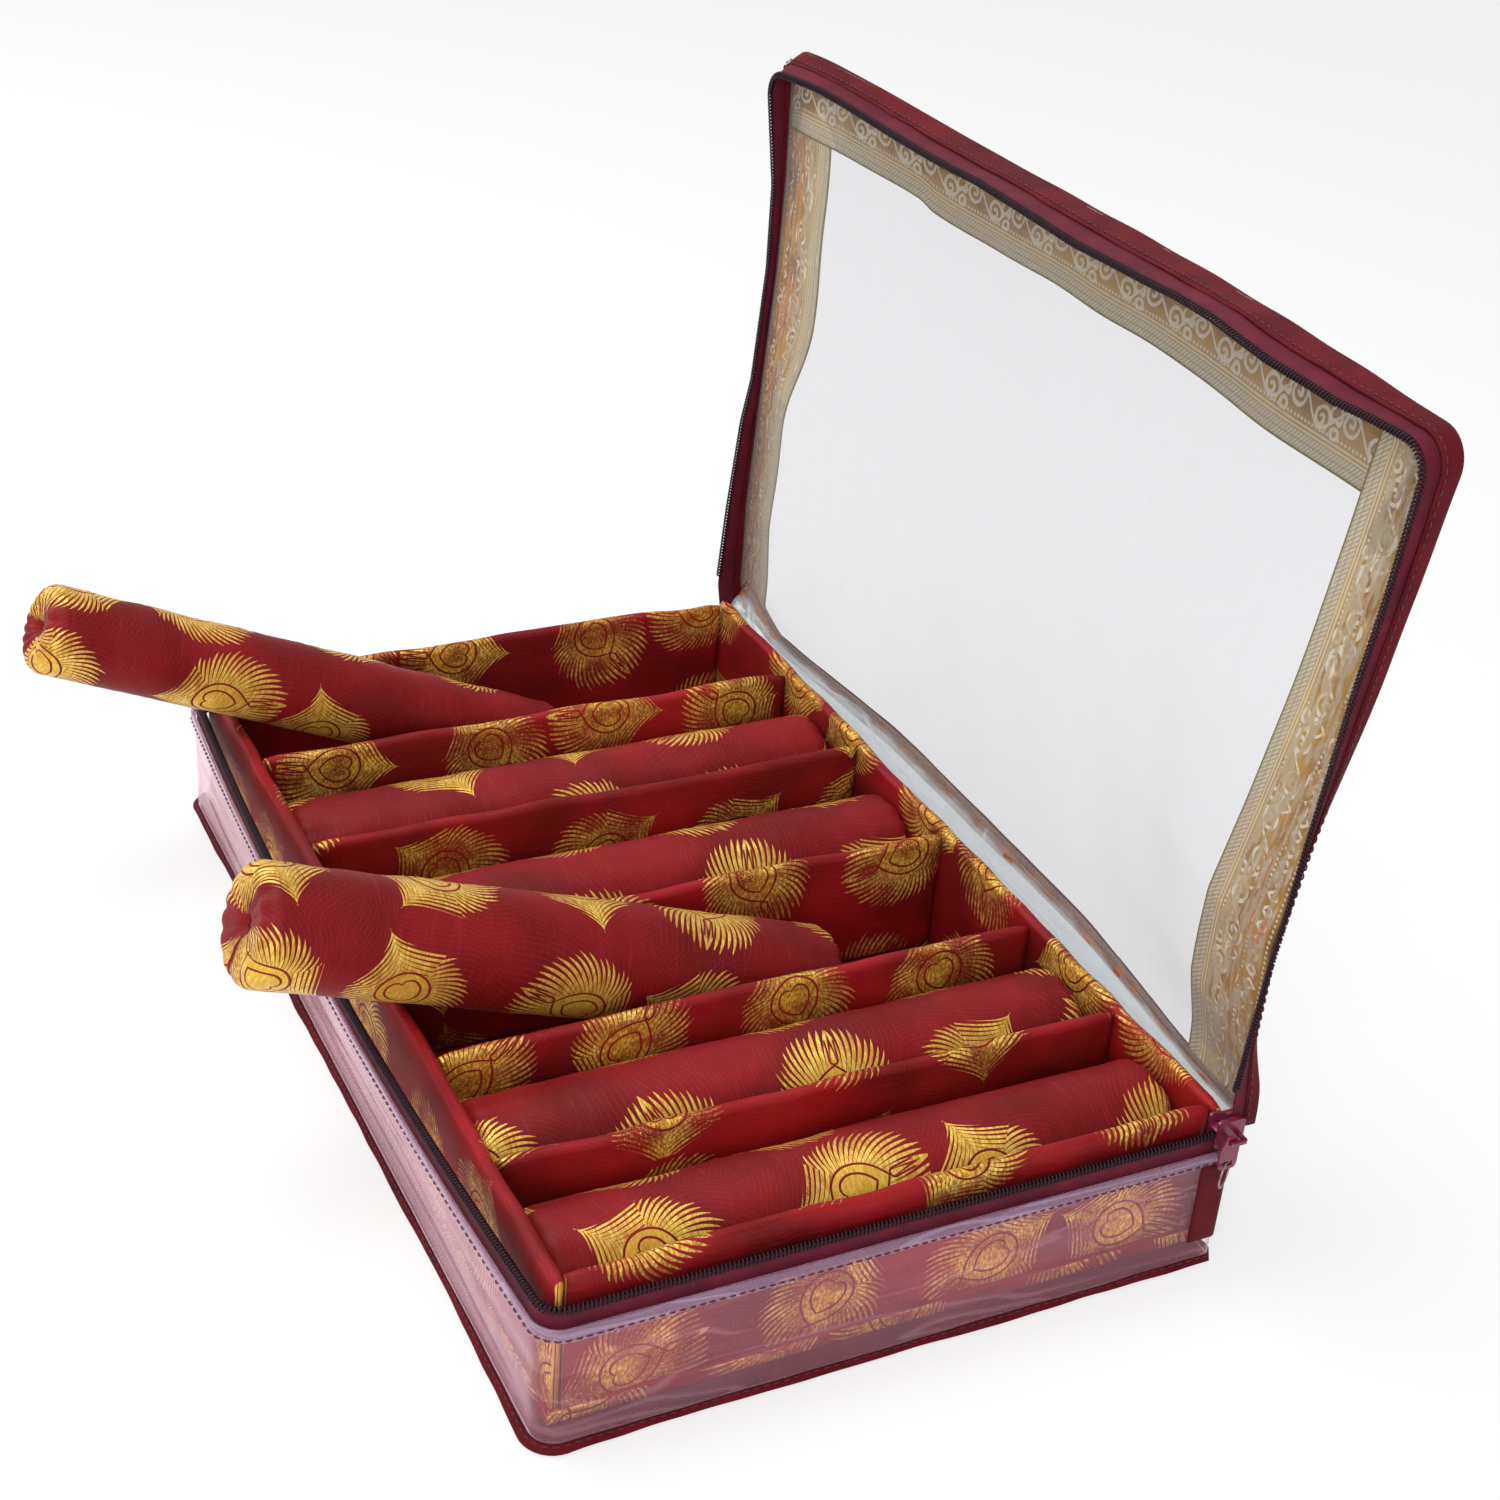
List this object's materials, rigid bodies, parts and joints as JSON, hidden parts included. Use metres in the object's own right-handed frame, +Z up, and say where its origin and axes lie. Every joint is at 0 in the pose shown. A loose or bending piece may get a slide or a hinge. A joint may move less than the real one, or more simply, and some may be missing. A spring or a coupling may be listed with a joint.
{
  "type": "bangle box",
  "caption": "Zip-round soft case with clear walls and a clear hinged lid, holding a lift-out tray of padded compartments with cloth-covered bangle rods.",
  "frame": {"origin": "middle of the flat underside of the base", "axes": "+Z up, +X along the hinge towards the end that the zip slider is on, +Y from the front towards the hinge"},
  "size_m": [0.3972, 0.3372, 0.2919],
  "materials": {
    "satin": "maroon satin brocade with gold feather motifs",
    "base_cloth": "dark maroon woven cloth",
    "film": "clear soft PVC film",
    "tape": "woven zip tape",
    "chain": "nylon coil teeth",
    "lace": "woven metallic border ribbon",
    "edge_cloth": "folded dark maroon cloth",
    "card": "bare rolled card",
    "slider": "maroon enamel on cast metal",
    "wire": "bright bent wire"
  },
  "bodies": {
    "case": {"base_panel": "base_cloth", "base_binding": "base_cloth", "case_film": "film", "film_hem": "film", "back_wall": "base_cloth", "lower_zip_tape": "tape", "lower_zip_chain": "chain"},
    "lid": {"lid_window": "film", "lid_back_film": "film", "lid_lace_front": "lace", "lid_lace_near": "lace", "lid_lace_far": "lace", "lid_lace_hinge": "lace", "lid_edge_band": "edge_cloth", "lid_back_binding": "edge_cloth", "upper_zip_tape": "tape", "upper_zip_chain": "chain"},
    "tray": {"tray_floor": "satin", "tray_front_wall": "satin", "tray_back_wall": "satin", "tray_near_wall": "satin", "tray_far_wall": "satin", "divider_1": "satin", "divider_2": "satin", "divider_3": "satin", "divider_4": "satin", "divider_5": "satin"},
    "rod_1": {"rod_1_tube": "card", "rod_1_cover": "satin"},
    "rod_2": {"rod_2_tube": "card", "rod_2_cover": "satin"},
    "rod_3": {"rod_3_tube": "card", "rod_3_cover": "satin"},
    "rod_4": {"rod_4_tube": "card", "rod_4_cover": "satin"},
    "rod_5": {"rod_5_tube": "card", "rod_5_cover": "satin"},
    "rod_6": {"rod_6_tube": "card", "rod_6_cover": "satin"},
    "slider": {"slider_body": "slider"},
    "puller": {"puller_tab": "slider"},
    "ring": {"puller_ring": "wire"}
  },
  "joints": [
    {"name": "lid_hinge", "type": "hinge", "parent": "case", "child": "lid", "pos_m": [0, 0.117, 0.053], "axis": [-1, 0, 0], "range_deg": [-78, 75]},
    {"name": "tray_lift", "type": "slide", "parent": "case", "child": "tray", "axis": [0, 0, 1], "range_m": [0, 0.09]},
    {"name": "rod_1_lift", "type": "slide", "parent": "tray", "child": "rod_1", "axis": [0, 0, 1], "range_m": [0, 0.07]},
    {"name": "rod_2_lift", "type": "slide", "parent": "tray", "child": "rod_2", "axis": [0, 0, 1], "range_m": [0, 0.07]},
    {"name": "rod_3_tilt", "type": "hinge", "parent": "tray", "child": "rod_3", "pos_m": [0.04275, 0.033, 0.0181], "axis": [-1, 0, 0], "range_deg": [0, 35]},
    {"name": "rod_4_lift", "type": "slide", "parent": "tray", "child": "rod_4", "axis": [0, 0, 1], "range_m": [0, 0.07]},
    {"name": "rod_5_lift", "type": "slide", "parent": "tray", "child": "rod_5", "axis": [0, 0, 1], "range_m": [0, 0.07]},
    {"name": "rod_6_tilt", "type": "hinge", "parent": "tray", "child": "rod_6", "pos_m": [-0.1523, 0.007, 0.0181], "axis": [-1, 0, 0], "range_deg": [0, 35]},
    {"name": "slider_slide", "type": "slide", "parent": "case", "child": "slider", "axis": [0, -1, 0], "range_m": [0, 0.2]},
    {"name": "puller_swing", "type": "hinge", "parent": "slider", "child": "puller", "pos_m": [0.1969, 0.1111, 0.053], "axis": [-1, 0, 0], "range_deg": [-25, 85]},
    {"name": "ring_swing", "type": "hinge", "parent": "puller", "child": "ring", "pos_m": [0.1969, 0.1111, 0.0446], "axis": [0.5736, -0.8192, 0], "range_deg": [-2, 60]}
  ]
}
